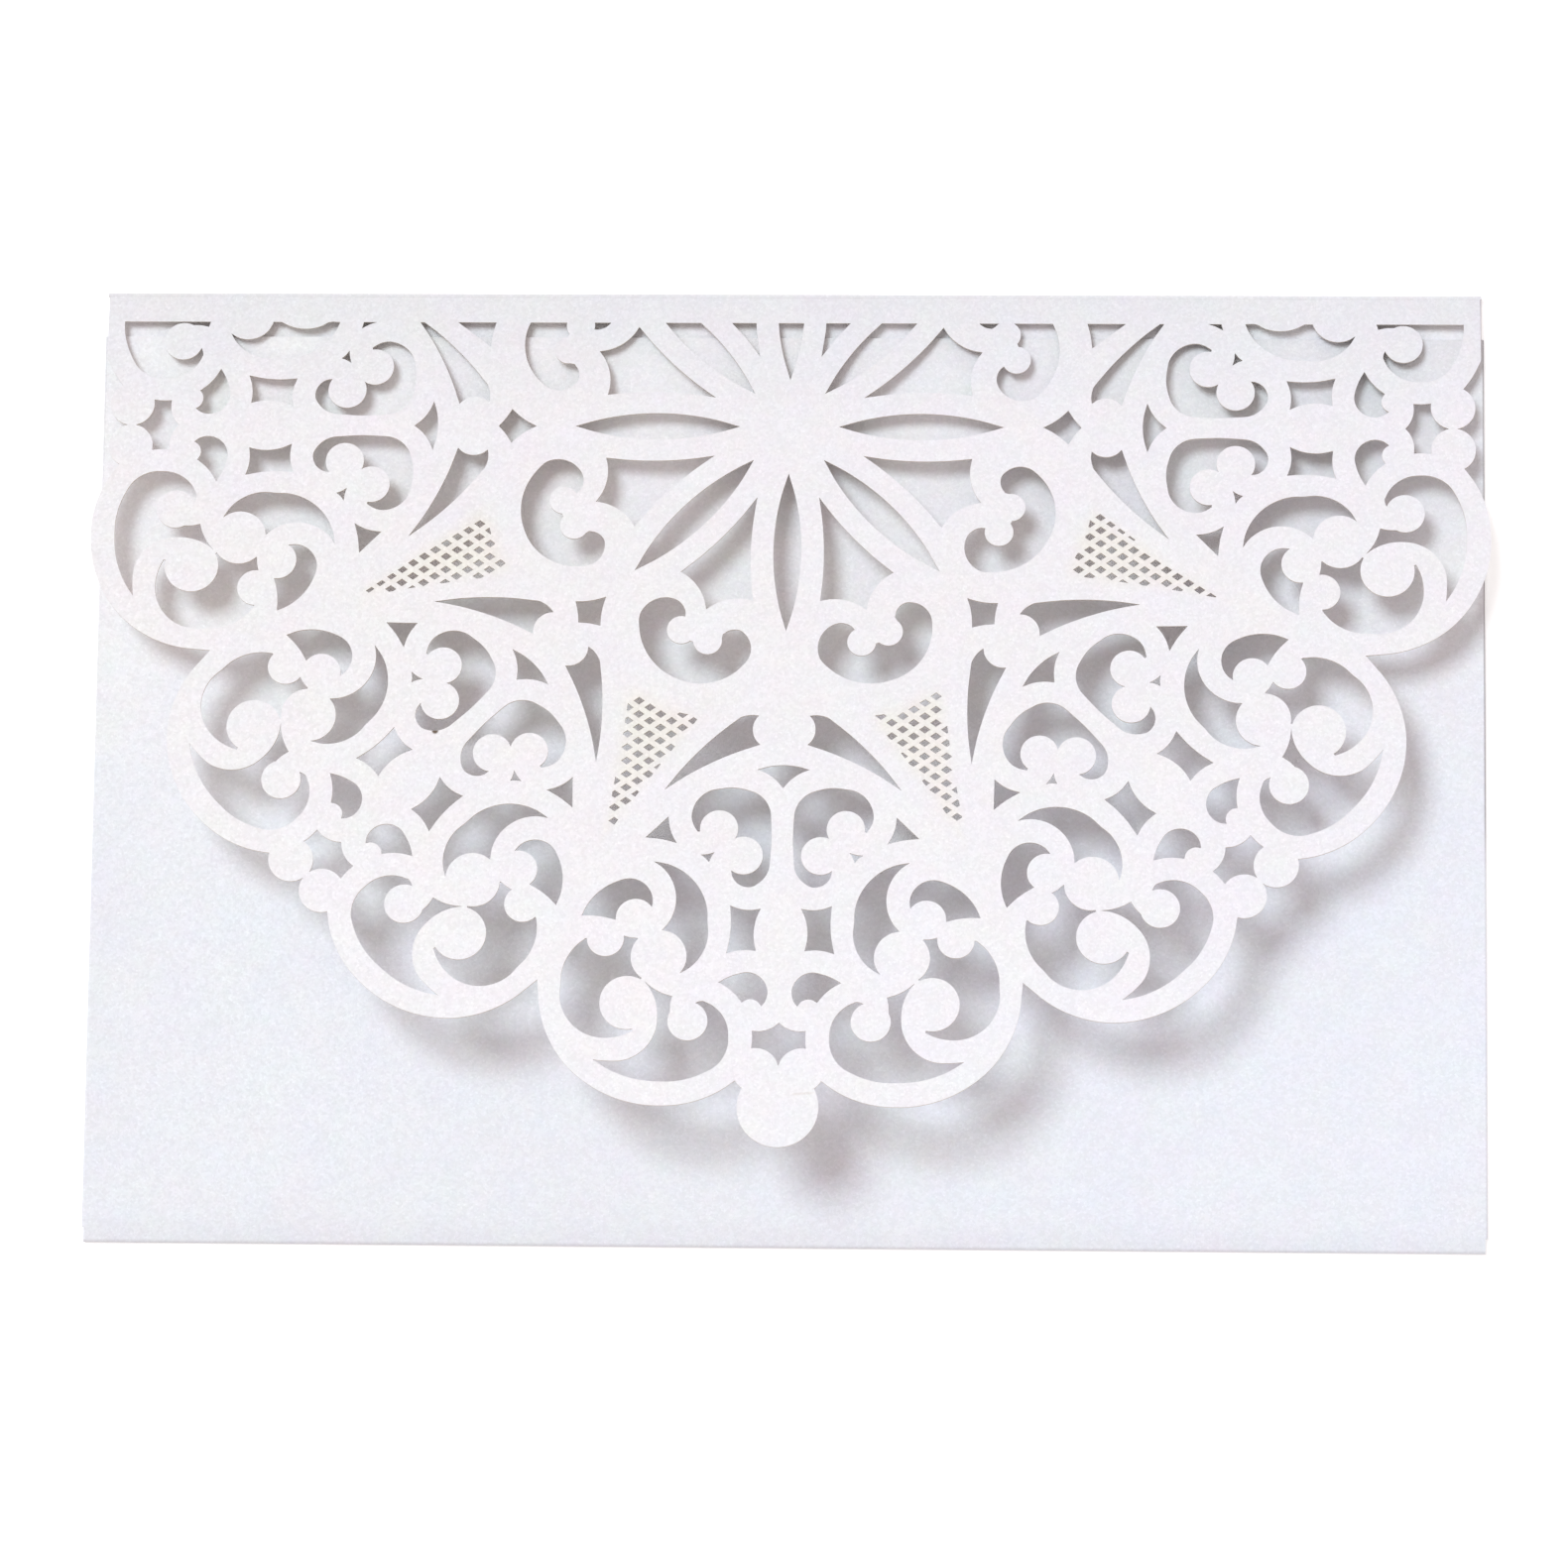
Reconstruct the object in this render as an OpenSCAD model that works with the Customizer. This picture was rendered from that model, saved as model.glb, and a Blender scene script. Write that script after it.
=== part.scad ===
// Wedding invitation: one sheet of pearl card, cut and creased flat, then folded into a shallow pocket.
// The back panel turns up at the bottom crease into the pocket's front, with side tabs glued behind it,
// and turns over at the top crease into a lace flap, half of an eight-fan rosette, that springs open.
// X runs along the creases, Y from the bottom crease to the flap crease, and the back panel lies on Z = 0.

/* [Card] */
// Width of the folded card, along the creases
card_w = 185; // [150:1:220]
// Height of the folded card, from the bottom crease to the flap crease
card_h = 128; // [124:1:170]
// Thickness of the card stock
paper_t = 0.3; // [0.2:0.05:0.5]

/* [Pocket] */
// How far the pocket's mouth lies below the flap crease
mouth_drop = 6; // [3:0.5:30]
// Width of the side tabs that are glued to the back panel
tab_w = 12; // [6:0.5:25]
// Slant cut off the tabs' inner corners
tab_mitre = 5; // [1:0.5:10]
// Distance from the bottom crease to the start of the tabs
tab_start = 2; // [1:0.5:10]

/* [Flap] */
// Angle at which the flap stands open
flap_lift = 8; // [2:0.5:20]
// Slack inside the flap crease, round the front panel and the tabs
crease_slack = 0.1; // [0.05:0.05:0.5]
// How far the flap crease stands proud of the card on each side, as a scored line does
crease_bead = 0.02; // [0.01:0.01:0.05]
// How far the flap's side edges lie inside the crease's ends
flap_inset = 0.2; // [0.1:0.1:2]
// Width of the uncut band below the flap crease
band_h = 4.3; // [3:0.1:8]
// Distance from the flap crease to the centre of the rosette
rosette_drop = 19; // [16:0.5:24]
// How far the side lobes reach past the card's side edges
lobe_overhang = 0.5; // [0:0.1:3]
// Radius of the round drop at the flap's tip
tip_r = 5.3; // [4.5:0.1:6.5]

/* [Lattice] */
// Distance between the columns of lattice cuts
lattice_col = 1.45; // [1.3:0.05:2.5]
// Distance between the lattice cuts of one column
lattice_row = 1.83; // [1.6:0.01:3]
// Width of one lattice cut
lattice_cut_w = 1.52; // [0.8:0.02:1.7]
// Height of one lattice cut
lattice_cut_h = 1.08; // [0.6:0.02:1.2]

/* [Hidden] */
$fa = 5;
$fs = 0.25;

// Card colour, a pearl white
pearl = [0.95, 0.94, 0.96];

// Layers of the glued pocket: back panel, side tabs, front panel
tab_z = paper_t;
front_z = 2 * paper_t;
panel_w = card_w - 2 * paper_t;
bottom_r = paper_t / 2;
bottom_y = -card_h / 2 + bottom_r + paper_t;
mouth_y = card_h / 2 - mouth_drop;

// Flap crease, which wraps the tab and the front panel
crease_r = paper_t + crease_slack / 2;
crease_t = paper_t + 2 * crease_bead;
crease_outer_r = crease_r + crease_t;
crease_y = card_h / 2 - crease_outer_r;
crease_lap = 0.05;
// Turn by which the crease starts inside the back panel
crease_root = 5;
flap_w = panel_w - 2 * flap_inset;

// The rosette is drawn for lobes that reach 93 mm from its centre, and scaled to the card's width
drawn_reach = 93;
rosette_scale = (card_w / 2 + lobe_overhang) / drawn_reach;
rosette_y = crease_outer_r - rosette_drop;
band_y = crease_outer_r - band_h;
fan_step = 45;
half_fan = fan_step / 2;
// Largest distance between a drawn arc and its straight pieces
arc_error = 0.05;
// Overlap of pieces that are joined in one plane
lap = 1;

// Lattice windows: half width and distance of the upper corners, distance of the lower tip
window_half = 5.05;
window_top = 41.5;
window_tip = 62.2;
// Least distance of a lattice cut's middle from its window's upper corners
window_margin = 0.45;
// Each window's angle from straight down, a little off the middle between its two fans,
// and the place of one of its cuts from the rosette's centre
windows = [
    [-3 * half_fan + 0.4, [-41, -15.65]],
    [-half_fan + 0.2, [-19.2, -41.95]],
    [half_fan + 0.3, [19.95, -41.15]],
    [3 * half_fan, [41.5, -14.4]]
];

// Points of an arc from a to b, without b, that stands out to the right of the way by bow
function arc_edge(a, b, bow) =
    bow == 0 ? [a] :
    let (
        chord = norm(b - a),
        along = (b - a) / chord,
        out = sign(bow) * [along.y, -along.x],
        rise = abs(bow),
        r = (chord * chord / 4 + rise * rise) / (2 * rise),
        half = 2 * atan2(2 * rise, chord),
        pieces = ceil(half / acos(1 - arc_error / r)),
        middle = (a + b) / 2 + (rise - r) * out
    )
    [for (i = [0 : pieces - 1])
        let (turn = half * (2 * i / pieces - 1))
        i == 0 ? a : middle + r * (cos(turn) * out + sin(turn) * along)];

// Closed outline of nodes [x, y, bow]: the edge that leaves a node bulges out by bow, or in if negative
module arc_shape(nodes) {
    count = len(nodes);
    polygon([for (i = [0 : count - 1])
        let (from = nodes[i], to = nodes[(i + 1) % count])
        each arc_edge([from.x, from.y], [to.x, to.y], from.z)]);
}

// Round ball that a scroll ends in
module ball(place, r) {
    translate(place) circle(r = r);
}

// The two like halves of a fan, left and right of its axis
module both_sides() {
    children();
    mirror([1, 0]) children();
}

// A fan is drawn along +Y from the rosette's centre. On its axis lie the petal slot, the diamond,
// the small arrow and the star, and on each side lie the scrolls.
petal_slot = [[0, 6.6, 1.87], [0, 28.6, 1.87]];
diamond = [[0, 33.8, -0.2], [2.4, 37.15, -0.1], [0, 38.9, -0.1], [-2.4, 37.15, -0.2]];
arrow = [[-3.45, 47.65, 0.62], [3.45, 47.65, -0.36], [0, 50.2, -0.36]];
star = [
    [0, 81.85, -0.45], [3.5, 82.95, -0.08], [3.57, 85.3, -0.85],
    [0, 87.65, -0.85], [-3.57, 85.3, -0.08], [-3.5, 82.95, -0.45]
];
wing = [[3.35, 40.25, 0.25], [6, 40.65, 0.55], [15.6, 50.5, -0.6], [3.1, 44.25, -0.9]];
thorn = [[14.95, 54.1, 0], [17.95, 57, -0.15], [13.78, 57.75, -0.28]];
bead_gap = [[8.82, 58.95, -0.08], [10.62, 59.3, -0.08], [9.52, 60.33, -0.08]];
panel_gap = [[2.62, 66.55, -0.36], [6.65, 66.15, -0.32], [7.05, 72.65, -0.29], [3.15, 72.27, -0.6]];
crescent = [[16.75, 60.25, -2.37], [15.5, 69.55, -1.95], [13.05, 75.35, 1.35], [9.55, 68.5, 2.3]];
curl_gap = [[16.85, 66.45, 1.25], [20, 62.55, 1.1], [26.05, 67.65, -0.22], [21.55, 68.2, -1.95]];
teardrop = [
    [2.35, 79.7, 0.3], [1.6, 77.4, 0.6], [4.2, 75.1, 0.26], [8, 76.5, -0.28], [4.9, 79.2, -0.7]
];

// Scroll with two balls beside the fan's axis
upper_ball = [8.3, 55.75];
upper_ball_r = 2.5;
lower_ball = [5.05, 59.37];
lower_ball_r = 2.55;
scroll = [
    [1.5, 54.2, 0.85], [4.5, 50.5, 0.25], [8.2, 50.28, 1.11], [11.93, 54.2, 0.16], [11.07, 56.2, 0],
    [upper_ball.x, upper_ball.y, 0], [lower_ball.x, lower_ball.y, 0],
    [6.6, 61.35, 0.8], [4, 63.65, 0.7], [1.55, 60.2, 0.14]
];

// Lobe at the rim: the opening on its far side with three balls, and the long one along its foot with one
shoulder_ball = [16, 73.1];
shoulder_ball_r = 3.5;
bud_ball = [22.85, 70.65];
bud_ball_r = 2.42;
heart_ball = [19.85, 79.3];
heart_ball_r = 3.57;
foot_ball = [11.9, 81.7];
foot_ball_r = 2.6;
lobe_heart = [
    [20.5, 70.3, 0], [bud_ball.x, bud_ball.y, 0], [25.5, 70.7, 0.95], [28.55, 77, 2.3],
    [22.3, 84.05, 0.2], [19, 83.1, 0], [heart_ball.x, heart_ball.y, 0], [18.1, 76.15, 0],
    [shoulder_ball.x, shoulder_ball.y, 0], [18.65, 70.6, -0.08]
];
lobe_foot = [
    [10.9, 79.25, 0], [foot_ball.x, foot_ball.y, 0], [14.2, 80.5, -0.1], [13.95, 78.4, -0.28],
    [17.6, 76.45, -0.5], [15.85, 81.3, -1.2], [20, 86.95, -0.15], [24.1, 86.95, 0.75],
    [15.5, 89.8, 0.7], [8, 87.6, 0.45], [6.55, 83.8, 0.95], [9.8, 79.05, 0.1]
];

// Rim of the rosette: a lobe on each side of the fan's axis and a pair of balls between them
hub_r = 81;
rim_ball = [2.95, 88.15];
rim_ball_r = 3;
lobe_rim = [
    [-0.3, 76, 0], [31.85, 73.5, 0], [31.45, 78, 0.9], [27.6, 87.7, 1.45], [15.2, 93, 0.9],
    [5.6, 89.6, 0], [-0.3, 88, 0]
];
tip_ball = [0, 93.1];

// Between two fans lie a kite, a kidney with two balls and a window, drawn along +Y too
kite = [[0, 10.73, -0.56], [5.23, 24.25, -0.8], [0, 27.75, -0.8], [-5.23, 24.25, -0.56]];
kidney = [
    [2.05, 29.9, 0.62], [4.6, 28, 0.97], [7.85, 31.7, 1.68], [0, 38, 2], [-7.9, 31.6, 0.75],
    [-5.3, 28.65, 0.33], [-3.45, 30, 0]
];
kidney_stem = [
    [-3.4, 29, 0], [2, 29, 0], [2, 30, 0], [0.6, 32.5, 0], [-0.6, 32.5, 0], [-3.6, 31, 0], [-3.4, 30, 0]
];
kidney_ball = [1.9, 31.6];
kidney_ball_r = 1.9;
// Each kidney's angle from straight down, a little off the middle between its two fans
kidney_angles = [
    -5 * half_fan - 0.85, -3 * half_fan + 0.2, -half_fan,
    half_fan - 0.6, 3 * half_fan - 1.75, 5 * half_fan - 1.55
];
window = [
    [-window_half, window_top, -0.85], [window_half, window_top, -0.2], [0, window_tip, -0.2]
];

module scroll_opening() {
    difference() {
        arc_shape(scroll);
        ball(upper_ball, upper_ball_r);
        ball(lower_ball, lower_ball_r);
    }
}

module lobe_openings() {
    difference() {
        arc_shape(lobe_heart);
        ball(bud_ball, bud_ball_r);
        ball(heart_ball, heart_ball_r);
        ball(shoulder_ball, shoulder_ball_r);
    }
    difference() {
        arc_shape(lobe_foot);
        ball(foot_ball, foot_ball_r);
    }
}

// Openings of one fan. The fan at the flap's tip has no diamond.
module fan_openings(has_diamond) {
    arc_shape(arrow);
    arc_shape(star);
    if (has_diamond) arc_shape(diamond);
    both_sides() {
        for (gap = [wing, thorn, bead_gap, panel_gap, crescent, curl_gap, teardrop]) arc_shape(gap);
        scroll_opening();
        lobe_openings();
    }
}

module kidney_opening() {
    difference() {
        arc_shape(kidney);
        arc_shape(kidney_stem);
        both_sides() ball(kidney_ball, kidney_ball_r);
    }
}

// Turns a shape drawn along +Y to an angle from straight down
module toward(angle) {
    rotate(180 + angle) children();
}

// Whether a lattice cut at a place of a window's own drawing has its middle in the window
function in_window(q) =
    q.y > window_top + window_margin
    && abs(q.x) < window_half * (window_tip - q.y) / (window_tip - window_top);

// Diamond cuts of one window. They keep upright whichever way the window points.
module lattice(angle, start) {
    reach = ceil((window_tip - window_top) / min(lattice_col, lattice_row));
    half_w = lattice_cut_w / 2;
    half_h = lattice_cut_h / 2;
    intersection() {
        toward(angle) arc_shape(window);
        for (i = [-reach : reach], j = [-reach : reach]) {
            place = start + [i * lattice_col, (j + abs(i % 2) / 2) * lattice_row];
            turned = [
                -place.x * cos(angle) - place.y * sin(angle),
                place.x * sin(angle) - place.y * cos(angle)
            ];
            if (in_window(turned)) {
                translate(place) polygon([[half_w, 0], [0, half_h], [-half_w, 0], [0, -half_h]]);
            }
        }
    }
}

// Puts the rosette in its place on the flat flap, at its size
module at_rosette() {
    translate([0, rosette_y]) scale(rosette_scale) children();
}

module rosette_openings() {
    for (k = [-2 : 2]) toward(k * fan_step) fan_openings(k != 0);
    for (k = [-4 : 3]) {
        toward(k * fan_step) arc_shape(petal_slot);
        toward((k + 0.5) * fan_step) arc_shape(kite);
    }
    for (angle = kidney_angles) toward(angle) kidney_opening();
    for (side = [-1, 1]) toward(side * 5 * half_fan) arc_shape(window);
    for (w = windows) lattice(w[0], w[1]);
}

module rosette_outline() {
    circle(r = hub_r);
    for (k = [-2 : 2]) toward(k * fan_step) both_sides() {
        arc_shape(lobe_rim);
        ball(rim_ball, rim_ball_r);
    }
    toward(0) ball(tip_ball, tip_r / rosette_scale);
}

// Flat flap, with its crease on Y = 0 and a little lapped into it.
// Above the rosette's centre its sides are trimmed to the card.
module flap_sheet() {
    difference() {
        union() {
            translate([-flap_w / 2, band_y]) square([flap_w, crease_lap - band_y]);
            difference() {
                at_rosette() rosette_outline();
                translate([-card_w, band_y + lap]) square(2 * card_w);
                both_sides() translate([flap_w / 2, rosette_y + lap]) square(card_w);
            }
        }
        difference() {
            at_rosette() rosette_openings();
            translate([-card_w, band_y]) square(2 * card_w);
        }
    }
}

// Bend of a sheet round an axis along X, through +Y. Its angles are counted from straight down.
module crease(inner_r, thick, start, end) {
    rotate([0, 90, 0]) translate([0, 0, -panel_w / 2]) rotate(start)
        rotate_extrude(angle = end - start) translate([inner_r, 0]) square([thick, panel_w]);
}

module flap_crease() {
    translate([0, crease_y, crease_outer_r]) crease(crease_r, crease_t, -crease_root, 180 - flap_lift);
}

module flap() {
    translate([0, crease_y, crease_outer_r]) rotate([-flap_lift, 0, 0])
        translate([0, 0, crease_r + crease_bead]) linear_extrude(paper_t) flap_sheet();
}

module back_panel() {
    translate([-panel_w / 2, bottom_y, 0]) cube([panel_w, crease_y - bottom_y, paper_t]);
}

module front_panel() {
    translate([-panel_w / 2, bottom_y, front_z]) cube([panel_w, mouth_y - bottom_y, paper_t]);
    translate([0, bottom_y, paper_t + bottom_r]) mirror([0, 1, 0]) crease(bottom_r, paper_t, 0, 180);
}

// Glued tab on the right, with the crease that joins it to the front panel
module side_tab() {
    tab_y = tab_start - card_h / 2;
    tab_l = mouth_y - tab_y;
    inner_x = card_w / 2 - tab_w;
    translate([0, 0, tab_z]) linear_extrude(paper_t) polygon([
        [panel_w / 2, tab_y], [panel_w / 2, mouth_y], [inner_x + tab_mitre, mouth_y],
        [inner_x, mouth_y - tab_mitre], [inner_x, tab_y + tab_mitre], [inner_x + tab_mitre, tab_y]
    ]);
    translate([panel_w / 2, mouth_y, front_z]) rotate([90, 90, 0])
        rotate_extrude(angle = 180) square([paper_t, tab_l]);
}

module lace_pocket() {
    color(pearl) {
        back_panel();
        front_panel();
        side_tab();
        mirror([1, 0, 0]) side_tab();
        flap_crease();
        flap();
    }
}

lace_pocket();
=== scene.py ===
from math import cos, radians, sin

import bmesh
import bpy
from mathutils import Matrix, Vector
from mathutils.geometry import interpolate_bezier


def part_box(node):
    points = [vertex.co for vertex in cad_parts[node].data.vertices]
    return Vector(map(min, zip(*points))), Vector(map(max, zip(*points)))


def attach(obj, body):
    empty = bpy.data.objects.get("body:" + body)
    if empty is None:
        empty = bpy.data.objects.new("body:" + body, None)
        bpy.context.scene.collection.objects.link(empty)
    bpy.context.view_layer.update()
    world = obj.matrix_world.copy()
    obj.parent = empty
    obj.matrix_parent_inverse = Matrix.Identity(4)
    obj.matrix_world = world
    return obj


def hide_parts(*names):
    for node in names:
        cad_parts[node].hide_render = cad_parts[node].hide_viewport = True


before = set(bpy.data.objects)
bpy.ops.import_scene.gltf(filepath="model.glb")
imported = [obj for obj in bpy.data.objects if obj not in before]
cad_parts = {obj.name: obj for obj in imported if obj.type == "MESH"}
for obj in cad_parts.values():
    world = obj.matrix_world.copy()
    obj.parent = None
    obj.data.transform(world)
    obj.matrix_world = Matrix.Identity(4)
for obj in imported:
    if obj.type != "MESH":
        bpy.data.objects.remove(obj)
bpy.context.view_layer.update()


# The sheet: one piece of pearl card, laser-cut and creased flat, then folded and glued into a pocket.
# Its lace flap turns over the top crease and springs open a little. The lace is drawn here as smooth
# curves through the points of the CAD outline, and the rest of the sheet is the CAD skin itself.
sheet_low, sheet_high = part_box("lace_pocket")
flap_lift = radians(8)
crease_r = 0.00069
crease_axis = Vector((0, sheet_high.y - crease_r, crease_r))

# The sheet in millimetres, with the flap turned level and the crease's axis at the origin
mm_per_m = 1000
weld_reach = 1e-7
lay_flat = Matrix.Scale(mm_per_m, 4) @ Matrix.Rotation(flap_lift, 4, "X") @ Matrix.Translation(-crease_axis)
skin = bmesh.new()
skin.from_mesh(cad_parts["lace_pocket"].data)
bmesh.ops.remove_doubles(skin, verts=skin.verts, dist=weld_reach)
skin.transform(lay_flat)

# Outlines of the flap's upper face, as rings of points
flap_face = 0.67
face_slack = 0.005
upper = {face for face in skin.faces if all(abs(v.co.z - flap_face) < face_slack for v in face.verts)}
beside = {}
for edge in skin.edges:
    if sum(face in upper for face in edge.link_faces) == 1:
        for near, far in (edge.verts, reversed(edge.verts)):
            beside.setdefault(near, []).append(far)
outlines = []
waiting = dict.fromkeys(beside)
while waiting:
    ring = [next(iter(waiting))]
    while ring[-1]:
        waiting.pop(ring[-1])
        ring.append(next((point for point in beside[ring[-1]] if point in waiting), None))
    outlines.append([point.co.copy() for point in ring[:-1]])

# The CAD skin's flap comes off at the crease, and the slot that it leaves is closed.
flap_floor = 0.3
axis_slack = 0.001
flap_start = -0.01
cut_off = [
    face for face in skin.faces
    if all(v.co.z > flap_floor and v.co.y < axis_slack for v in face.verts)
    and any(v.co.y < flap_start for v in face.verts)]
bmesh.ops.delete(skin, geom=cut_off, context="FACES")
bmesh.ops.holes_fill(skin, edges=[edge for edge in skin.edges if edge.is_boundary], sides=0)

# Each ring becomes a smooth curve through its points, with its corners kept sharp. A point beside a much
# longer side takes that side's heading. At the crease the lace reaches a little way into the fold.
corner_turn = radians(33)
straight_turn = radians(2)
much_longer = 2
bent_points = 4
straight_points = 2
crease_lap = 0.03
lace_edges = []
for ring in outlines:
    for point in ring:
        if point.y > -axis_slack:
            point.y = crease_lap
    count = len(ring)
    sides = [ring[(i + 1) % count] - ring[i] for i in range(count)]
    headings = []
    for i in range(count):
        into, out = sides[i - 1], sides[i]
        if into.angle(out) > corner_turn:
            headings.append((into.normalized(), out.normalized()))
        elif into.length > much_longer * out.length:
            headings.append((into.normalized(),) * 2)
        elif out.length > much_longer * into.length:
            headings.append((out.normalized(),) * 2)
        else:
            headings.append(((into / into.length_squared + out / out.length_squared).normalized(),) * 2)
    drawn = []
    for i in range(count):
        start, end = ring[i], ring[(i + 1) % count]
        leave, arrive = headings[i][1], headings[(i + 1) % count][0]
        third = sides[i].length / 3
        handles = start + leave * third, end - arrive * third
        bent = max(leave.angle(sides[i]), arrive.angle(sides[i])) > straight_turn
        curve_points = bent_points if bent else straight_points
        drawn += interpolate_bezier(start, *handles, end, curve_points)[:-1]
    points = [skin.verts.new(spot) for spot in drawn]
    lace_edges += [skin.edges.new((points[i - 1], points[i])) for i in range(len(points))]

# The lace between the curves, as thick as the card
paper_t = 0.30
lace = bmesh.ops.triangle_fill(skin, use_beauty=True, edges=lace_edges, normal=(0, 0, 1))
lace_faces = [part for part in lace["geom"] if isinstance(part, bmesh.types.BMFace)]
under = bmesh.ops.extrude_face_region(skin, geom=lace_faces)
under_points = [part for part in under["geom"] if isinstance(part, bmesh.types.BMVert)]
bmesh.ops.translate(skin, verts=under_points, vec=(0, 0, -paper_t))
bmesh.ops.recalc_face_normals(skin, faces=skin.faces)

sharp_turn = radians(30)
skin.transform(lay_flat.inverted())
pocket = bpy.data.objects.new("pearl_pocket", bpy.data.meshes.new("pearl_pocket"))
skin.to_mesh(pocket.data)
skin.free()
pocket.data.shade_smooth()
pocket.data.set_sharp_from_angle(angle=sharp_turn)
bpy.context.scene.collection.objects.link(pocket)
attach(pocket, "root")
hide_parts("lace_pocket")

card = bpy.data.materials.new("pearl_card")
card.use_nodes = True
tree = card.node_tree
tree.nodes.clear()
pocket.data.materials.append(card)


def put(kind, links=None, values=None, **settings):
    """A shader node in the tree at hand, with its settings, its sockets' values and what runs into it."""
    made = tree.nodes.new(kind)
    for name, setting in settings.items():
        setattr(made, name, setting)
    for socket, value in (values or {}).items():
        made.inputs[socket].default_value = value
    for socket, source in (links or {}).items():
        tree.links.new(source, made.inputs[socket])
    return made


def reckon(operation, first, second=None):
    """The output of a Math node, whose terms are outputs or plain numbers."""
    made = put("ShaderNodeMath", operation=operation)
    for socket, term in enumerate((first, second)):
        if isinstance(term, bpy.types.NodeSocket):
            tree.links.new(term, made.inputs[socket])
        elif term is not None:
            made.inputs[socket].default_value = term
    return made.outputs[0]


def spread(source, start, end, low=0.0, high=1.0):
    """The source's run from start to end, turned into one from low to high with soft ends."""
    made = put("ShaderNodeMapRange", {"Value": source}, interpolation_type="SMOOTHSTEP")
    for socket, value in (("From Min", start), ("From Max", end), ("To Min", low), ("To Max", high)):
        made.inputs[socket].default_value = value
    return made.outputs["Result"]


def tint(base, colour, share, blend="MULTIPLY"):
    """The base colour multiplied by another, or turned into it, as far as share says."""
    made = put("ShaderNodeMix", data_type="RGBA", blend_type=blend)
    factor, first_colour, second_colour = (made.inputs[socket] for socket in (0, 6, 7))
    tree.links.new(share, factor)
    tree.links.new(base, first_colour)
    second_colour.default_value = (*colour, 1)
    return made.outputs[2]


def mottle(base, source, depth):
    """The base colour, lightened and darkened in each channel by a texture's colour, by depth in all."""
    swing = put("ShaderNodeVectorMath", {0: source}, operation="MULTIPLY_ADD")
    swing.inputs[1].default_value = (depth,) * 3
    swing.inputs[2].default_value = (1 - depth / 2,) * 3
    return put("ShaderNodeVectorMath", {0: base, 1: swing.outputs[0]}, operation="MULTIPLY").outputs[0]


place = put("ShaderNodeTexCoord").outputs["Object"]
normal = put("ShaderNodeNewGeometry").outputs["Normal"]
axes = put("ShaderNodeSeparateXYZ", {"Vector": place}).outputs

# The coat's colour is set by height: cool on the flat panel, and on the flap darker by the crease and lighter
# and warmer towards the tip. Past the panel's own colour this is painted shade and painted sheen, for how the
# rising flap catches the light.
panel_top = 0.0009
panel_coat = (0.845, 0.857, 0.895)
coat_and_sheen_stops = [
    (0.0000, panel_coat),
    (panel_top, panel_coat),
    (0.0012, (0.802, 0.799, 0.815)),
    (0.0040, (0.870, 0.846, 0.862)),
    (0.0075, (0.877, 0.857, 0.862)),
    (0.0150, (0.898, 0.881, 0.893)),
]
height = put("ShaderNodeMapRange", {"Value": axes["Z"]}, {"From Max": sheet_high.z}).outputs["Result"]
coat_and_sheen = put("ShaderNodeValToRGB", {"Fac": height})
stops = coat_and_sheen.color_ramp.elements
while len(stops) < len(coat_and_sheen_stops):
    stops.new(0.5)
for stop, (level, colour) in zip(stops, coat_and_sheen_stops):
    stop.position = level / sheet_high.z
    stop.color = (*colour, 1)
pearl = coat_and_sheen.outputs["Color"]

# Its fine mica lies in clouds a few millimetres wide, with smaller patches within them.
cloud_size = 0.006
cloud_depth = 0.07
cloud = put("ShaderNodeTexNoise", {"Vector": place}, {"Scale": 1 / cloud_size, "Detail": 3})
pearl = mottle(pearl, cloud.outputs["Color"], cloud_depth)
patch_size = 0.0013
patch_depth = 0.045
patch = put("ShaderNodeTexNoise", {"Vector": place}, {"Scale": 1 / patch_size, "Detail": 2})
pearl = mottle(pearl, patch.outputs["Color"], patch_depth)

# Single flakes of random tone, and a few painted glints: flakes lightened in the colour as if they caught the
# light
flake_size = 0.00034
flake_shine = (0.963, 1.027)
flake = put("ShaderNodeTexVoronoi", {"Vector": place}, {"Scale": 1 / flake_size})
turned = put("ShaderNodeSeparateColor", {"Color": flake.outputs["Color"]}).outputs
sparkle_size = 0.0002
sparkle_from = (0.9, 0.96)
sparkle_gain = 0.06
sparkle = put("ShaderNodeTexVoronoi", {"Vector": place}, {"Scale": 1 / sparkle_size})
bright = put("ShaderNodeSeparateColor", {"Color": sparkle.outputs["Color"]}).outputs["Red"]
# Painted glints: the brightest sparkle cells are lightened in the colour.
painted_glint = spread(bright, *sparkle_from, 0, sparkle_gain)
flake_tone_and_glint = reckon("ADD", spread(turned["Red"], 0, 1, *flake_shine), painted_glint)
pearl = put("ShaderNodeVectorMath", {0: pearl, "Scale": flake_tone_and_glint}, operation="SCALE").outputs[0]

# The panel is painted lighter and warmer towards the mouth under the flap, painted light in the flap's shade,
# and painted lighter and cooler to the right. Beside the bottom crease it is painted darker, painted shade,
# and the crease at its right is painted dark down to the middle, a painted shadow.
flap_gap = 0.0003
is_flap = reckon("GREATER_THAN", axes["Z"], panel_top + flap_gap)
is_panel = reckon("SUBTRACT", 1, is_flap)
mouth_painted_light = (1.06, 1.04, 1.01)
mouth_rise = (-0.02, 0.03)
pearl = tint(pearl, mouth_painted_light, reckon("MULTIPLY", spread(axes["Y"], *mouth_rise), is_panel))
# Painted light: lighter and cooler to the right.
right_painted_light = (1.015, 1.02, 1.04)
right_rise = (-0.05, 0.08)
pearl = tint(pearl, right_painted_light, reckon("MULTIPLY", spread(axes["X"], *right_rise), is_panel))
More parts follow.
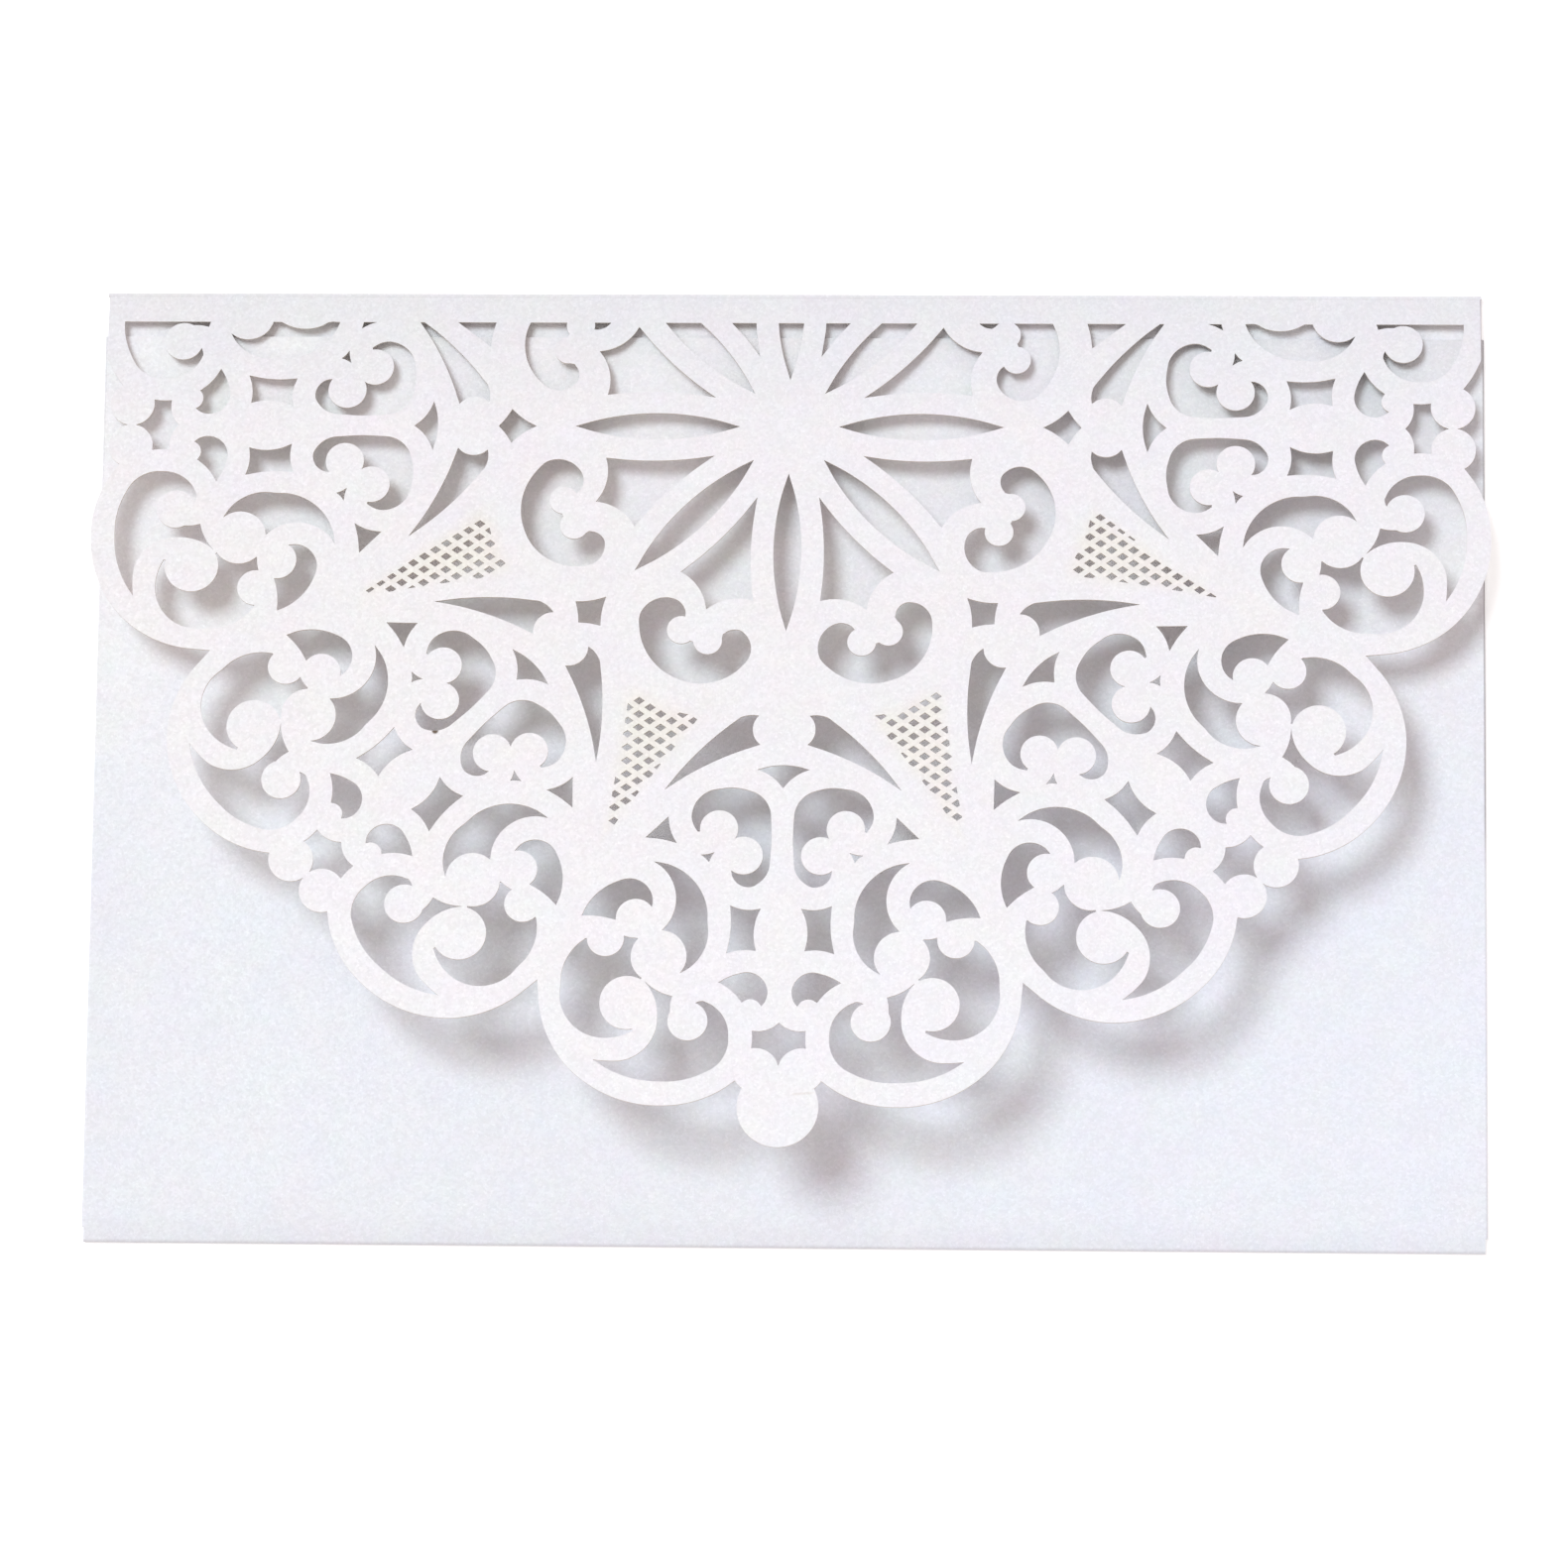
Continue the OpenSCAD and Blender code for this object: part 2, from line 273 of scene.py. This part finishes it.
# Painted shade beside the bottom crease
bottom_painted_shade = (0.96, 0.955, 0.955)
bottom_reach = 0.0045
pearl = tint(pearl, bottom_painted_shade, spread(axes["Y"], sheet_low.y + bottom_reach, sheet_low.y))
# Painted shadow along the right crease, down to the middle
crease_painted_shadow = (0.42, 0.40, 0.39)
crease_rise = (0.0922, 0.0925)
crease_end = (-0.015, -0.005)
crease_shadow_share = reckon("MULTIPLY", spread(axes["X"], *crease_rise), spread(axes["Y"], *crease_end))
pearl = tint(pearl, crease_painted_shadow, reckon("MULTIPLY", crease_shadow_share, is_panel))

# The flap is painted a little lighter and cooler to the right too, painted light.
flap_right_painted_light = (1.012, 1.017, 1.035)
flap_right_rise = (-0.08, 0.08)
pearl = tint(pearl, flap_right_painted_light, reckon("MULTIPLY", spread(axes["X"], *flap_right_rise), is_flap))

# The laser scorches the cut walls of the lace to a light tan.
wall_tint = (0.82, 0.76, 0.64)
steep = 0.5
across = put("ShaderNodeVectorMath", {0: normal}, operation="DOT_PRODUCT")
across.inputs[1].default_value = (0, sin(flap_lift), cos(flap_lift))
is_wall = reckon("LESS_THAN", reckon("ABSOLUTE", across.outputs["Value"]), steep)
pearl = tint(pearl, wall_tint, reckon("MULTIPLY", is_wall, is_flap))

# The flap's underside is the sheet's uncoated inside, a warmer white.
inside_white = (0.93, 0.88, 0.84)
is_under = reckon("LESS_THAN", across.outputs["Value"], -steep)
pearl = tint(pearl, inside_white, reckon("MULTIPLY", is_under, is_flap), "MIX")

# The lattice windows lie midway between two fans of the rosette, and their bars are yellowed by the laser.
rosette_y = 0.04527
half_fan = radians(22.5)
lattice_top = 0.0405
lattice_tip = 0.0625
lattice_half = 0.0060
lattice_slope = lattice_half / (lattice_tip - lattice_top)
lattice_side_rise = (-0.0009, 0.0024)
lattice_top_rise = (lattice_top - 0.0003, lattice_top + 0.0031)
lattice_tint = (1.0, 0.983, 0.913)
down = reckon("DIVIDE", reckon("SUBTRACT", rosette_y, axes["Y"]), cos(flap_lift))
turn = reckon("SUBTRACT", half_fan, reckon("PINGPONG", reckon("ARCTAN2", axes["X"], down), half_fan))
reach = reckon("SQRT", reckon("ADD", reckon("POWER", axes["X"], 2), reckon("POWER", down, 2)))
along = reckon("MULTIPLY", reach, reckon("COSINE", turn))
aside = reckon("MULTIPLY", reach, reckon("SINE", turn))
half_there = reckon("MULTIPLY", reckon("SUBTRACT", lattice_tip, along), lattice_slope)
room_aside = reckon("SUBTRACT", half_there, aside)
in_lattice = reckon("MULTIPLY", spread(room_aside, *lattice_side_rise), spread(along, *lattice_top_rise))
below = reckon("MULTIPLY", reckon("GREATER_THAN", down, 0), is_flap)
pearl = tint(pearl, lattice_tint, reckon("MULTIPLY", in_lattice, below))

# A scorched speck at one opening on the left
speck_x = -0.04604
speck_down = 0.04257
speck_edge = (0.00055, 0.00025)
speck_tint = (0.16, 0.11, 0.07)
speck_off_x = reckon("POWER", reckon("SUBTRACT", axes["X"], speck_x), 2)
speck_off_down = reckon("POWER", reckon("SUBTRACT", down, speck_down), 2)
speck_off = reckon("SQRT", reckon("ADD", speck_off_x, speck_off_down))
pearl = tint(pearl, speck_tint, reckon("MULTIPLY", spread(speck_off, *speck_edge), is_flap))

# A faint nick across the tip, painted as a faint warm-grey line: painted shade of the dent, which runs out at
# both ends
nick_left = 0.0014
nick_right = 0.0052
nick_end = 0.001
nick_down = 0.0914
nick_slope = 0.07
nick_edge = (0.00025, 0.00005)
nick_painted_shade = (0.92, 0.89, 0.87)
nick_drop = reckon("MULTIPLY", reckon("SUBTRACT", axes["X"], nick_left), nick_slope)
nick_off = reckon("ADD", reckon("SUBTRACT", down, nick_down), nick_drop)
nick_in = spread(axes["X"], nick_left, nick_left + nick_end)
nick_out = spread(axes["X"], nick_right, nick_right - nick_end)
nick_line = spread(reckon("ABSOLUTE", nick_off), *nick_edge)
pearl = tint(pearl, nick_painted_shade, reckon("MULTIPLY", nick_line, reckon("MULTIPLY", nick_in, nick_out)))

# Paper grain and flakes as relief
grain_size = 0.0009
grain_depth = 0.00008
flake_depth = 0.00003
grain = put("ShaderNodeTexNoise", {"Vector": place}, {
    "Scale": 1 / grain_size,
    "Detail": 5,
    "Roughness": 0.65,
})
grain_relief = put(
    "ShaderNodeBump", {"Height": grain.outputs["Fac"]}, {"Strength": 0.4, "Distance": grain_depth})
flake_relief = put(
    "ShaderNodeBump", {"Height": turned["Green"], "Normal": grain_relief.outputs[0]},
    {"Strength": 0.3, "Distance": flake_depth})

flake_roughness = (0.36, 0.6)
surface = put("ShaderNodeBsdfPrincipled", {
    "Base Color": pearl,
    "Roughness": spread(turned["Blue"], 0, 1, *flake_roughness),
    "Normal": flake_relief.outputs[0],
}, {
    "Diffuse Roughness": 0.3,
    "Specular IOR Level": 0.5,
})
put("ShaderNodeOutputMaterial", {"Surface": surface.outputs[0]})


# The table: a wide white board that the card lies on. It shows as the white ground of the picture and keeps
# only the card's own soft shadow.
table_half = 3.0
board_white = (0.9, 0.9, 0.9, 1)
board_glow = 0.4
table = bpy.data.objects.new("table", bpy.data.meshes.new("table"))
table.data.from_pydata(
    [(x * table_half, y * table_half, 0) for x, y in ((-1, -1), (1, -1), (1, 1), (-1, 1))],
    [], [(0, 1, 2, 3)])
bpy.context.scene.collection.objects.link(table)
board = bpy.data.materials.new("white_board")
board.use_nodes = True
tree = board.node_tree
tree.nodes.clear()
paint = put("ShaderNodeBsdfDiffuse", values={"Color": board_white})
glow = put("ShaderNodeEmission", values={"Color": (1, 1, 1, 1), "Strength": board_glow})
seen = put("ShaderNodeLightPath").outputs["Is Camera Ray"]
lit = put("ShaderNodeAddShader", {0: paint.outputs[0], 1: glow.outputs[0]})
shown = put("ShaderNodeMixShader", {0: seen, 1: paint.outputs[0], 2: lit.outputs[0]})
put("ShaderNodeOutputMaterial", {"Surface": shown.outputs[0]})
table.data.materials.append(board)


# The room: warm light from all round, and one soft window from the upper left, whose shadows are crisp beside
# the crease and soft under the flap's tip.
room_colour = (1, 0.91, 0.89, 1)
room_strength = 0.63
room = bpy.data.worlds.new("room")
bpy.context.scene.world = room
room.use_nodes = True
air = room.node_tree.nodes["Background"].inputs
air["Color"].default_value = room_colour
air["Strength"].default_value = room_strength

window_toward = Vector((-0.389, 0.341, 1))
window_data = bpy.data.lights.new("window_light", "SUN")
window_data.angle = radians(23.5)
window_data.energy = 1.6
window_data.color = (0.85, 0.948, 1)
window = bpy.data.objects.new("window_light", window_data)
window.rotation_euler = window_toward.to_track_quat("Z", "Y").to_euler()
bpy.context.scene.collection.objects.link(window)


# The camera: a long lens nearly straight above the card, a little from below and from the right.
camera_data = bpy.data.cameras.new("camera")
camera_data.sensor_width = 36
camera_data.lens = 143.43
camera = bpy.data.objects.new("camera", camera_data)
camera.location = (0.03471, -0.12008, 0.8212)
camera.rotation_euler = (radians(8.182), radians(2.35), radians(0.664))
bpy.context.scene.collection.objects.link(camera)
bpy.context.scene.camera = camera
bpy.context.scene.view_settings.view_transform = "Standard"
